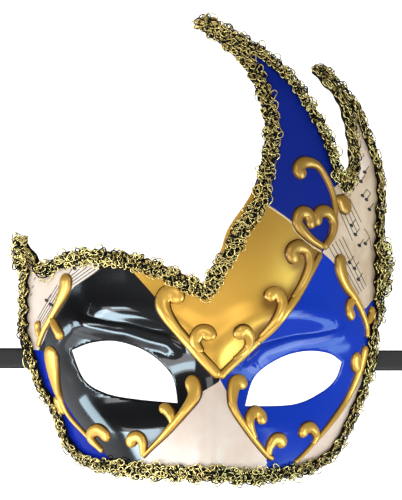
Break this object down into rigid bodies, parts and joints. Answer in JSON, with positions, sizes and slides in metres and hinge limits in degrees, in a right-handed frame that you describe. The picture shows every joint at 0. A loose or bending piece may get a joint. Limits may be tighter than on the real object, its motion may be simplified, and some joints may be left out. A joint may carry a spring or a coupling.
{
  "type": "masquerade mask",
  "caption": "Carnival half mask with a tall and a short horn, eye holes, raised gold scrollwork, a scalloped braid round the edge and ribbon ties, lying face up.",
  "frame": {"origin": "middle of the mask's plan, ties left out, on the table that it lies on", "axes": "+X to the right as the face is looked at, +Y towards the forehead and the horn tips, +Z out of the face"},
  "size_m": [0.229, 0.2178, 0.0759],
  "materials": {
    "shell": "gloss lacquer in black, blue, gold and cream fields",
    "braid": "looped gold and black cord",
    "gold_relief": "raised relief in gold paint",
    "ribbon": "black satin"
  },
  "bodies": {
    "root": {"shell": "shell", "edge_braid": "braid", "scroll_temple_left": "gold_relief", "scroll_cheek_left": "gold_relief", "scroll_nose_left": "gold_relief", "scroll_nose_right": "gold_relief", "scroll_cheek_right": "gold_relief", "scroll_temple_right": "gold_relief", "scroll_heart": "gold_relief", "scroll_bridge": "gold_relief", "ribbon_left": "ribbon", "ribbon_right": "ribbon"}
  },
  "joints": []
}
